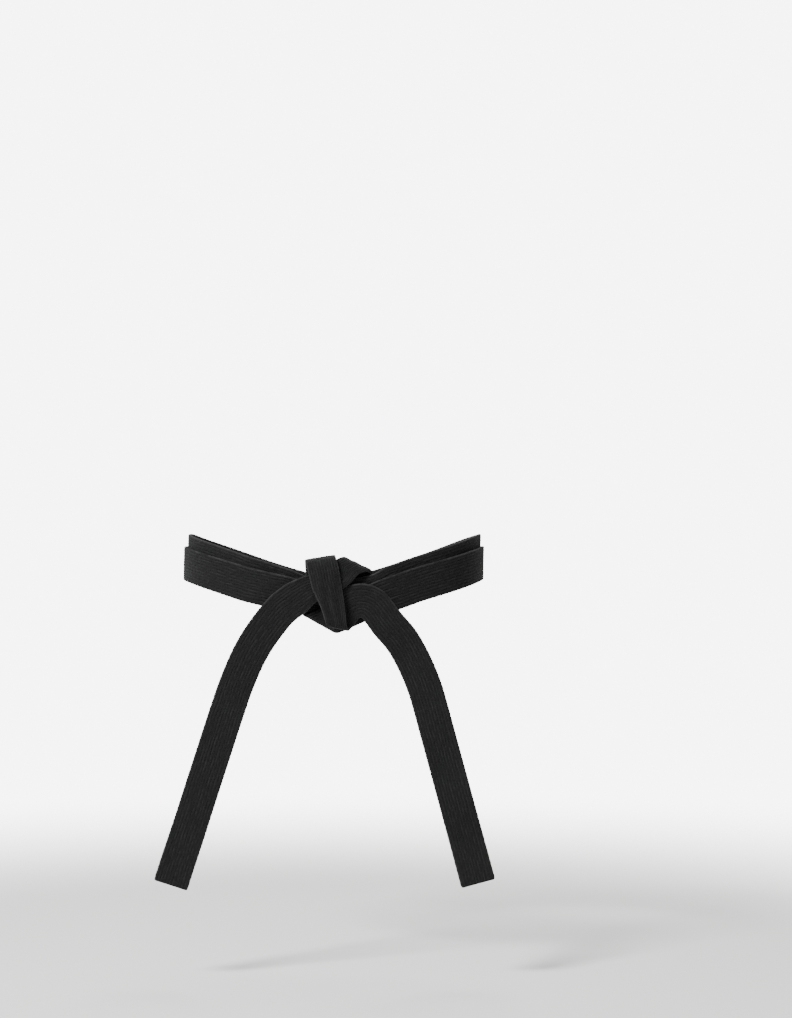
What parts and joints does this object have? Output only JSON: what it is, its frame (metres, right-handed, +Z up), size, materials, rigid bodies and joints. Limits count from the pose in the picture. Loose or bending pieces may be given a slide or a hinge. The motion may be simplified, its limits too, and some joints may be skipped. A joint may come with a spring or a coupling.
{
  "type": "martial arts belt",
  "caption": "Black stitched cotton martial arts belt, wound twice round the waist and tied at the front in a flat knot, with its two ends hanging free.",
  "frame": {"origin": "centre of the waist, level with the middle of the belt at the front knot", "axes": "+Z up along the waist's axis; the knot and the wearer's front face -Y; +X is to the right in a view of the front"},
  "size_m": [0.3893, 0.2727, 0.4054],
  "materials": {
    "cotton_cover": "matte, ribbed by parallel rows of stitching",
    "canvas_core": "matte unbleached canvas"
  },
  "bodies": {
    "waist_loop": {"inner_turn_cover": "cotton_cover", "inner_turn_inner_ply": "canvas_core", "inner_turn_outer_ply": "canvas_core", "front_crossing_cover": "cotton_cover", "front_crossing_inner_ply": "canvas_core", "front_crossing_outer_ply": "canvas_core", "outer_turn_cover": "cotton_cover", "outer_turn_inner_ply": "canvas_core", "outer_turn_outer_ply": "canvas_core", "left_knot_pass_cover": "cotton_cover", "left_knot_pass_inner_ply": "canvas_core", "left_knot_pass_outer_ply": "canvas_core", "right_knot_pass_cover": "cotton_cover", "right_knot_pass_inner_ply": "canvas_core", "right_knot_pass_outer_ply": "canvas_core"},
    "left_tail": {"left_tail_cover": "cotton_cover", "left_tail_inner_ply": "canvas_core", "left_tail_outer_ply": "canvas_core"},
    "left_tail_end": {"left_tail_end_cover": "cotton_cover", "left_tail_end_inner_ply": "canvas_core", "left_tail_end_outer_ply": "canvas_core", "left_tail_end_turned_end": "cotton_cover"},
    "right_tail": {"right_tail_cover": "cotton_cover", "right_tail_inner_ply": "canvas_core", "right_tail_outer_ply": "canvas_core"},
    "right_tail_end": {"right_tail_end_cover": "cotton_cover", "right_tail_end_inner_ply": "canvas_core", "right_tail_end_outer_ply": "canvas_core", "right_tail_end_turned_end": "cotton_cover"}
  },
  "joints": [
    {"name": "left_tail_lift", "type": "hinge", "parent": "waist_loop", "child": "left_tail", "pos_m": [-0.09496, -0.1276, -0.06032], "axis": [-0.9002, 0, 0.4355], "range_deg": [0, 70]},
    {"name": "left_tail_curl", "type": "hinge", "parent": "left_tail", "child": "left_tail_end", "pos_m": [-0.13255, -0.13722, -0.16348], "axis": [-0.9521, 0, 0.3057], "range_deg": [0, 75]},
    {"name": "right_tail_lift", "type": "hinge", "parent": "waist_loop", "child": "right_tail", "pos_m": [0.09016, -0.1276, -0.06032], "axis": [-0.8929, 0, -0.4502], "range_deg": [0, 70]},
    {"name": "right_tail_curl", "type": "hinge", "parent": "right_tail", "child": "right_tail_end", "pos_m": [0.12525, -0.13722, -0.16419], "axis": [-0.965, 0, -0.2622], "range_deg": [0, 75]}
  ]
}
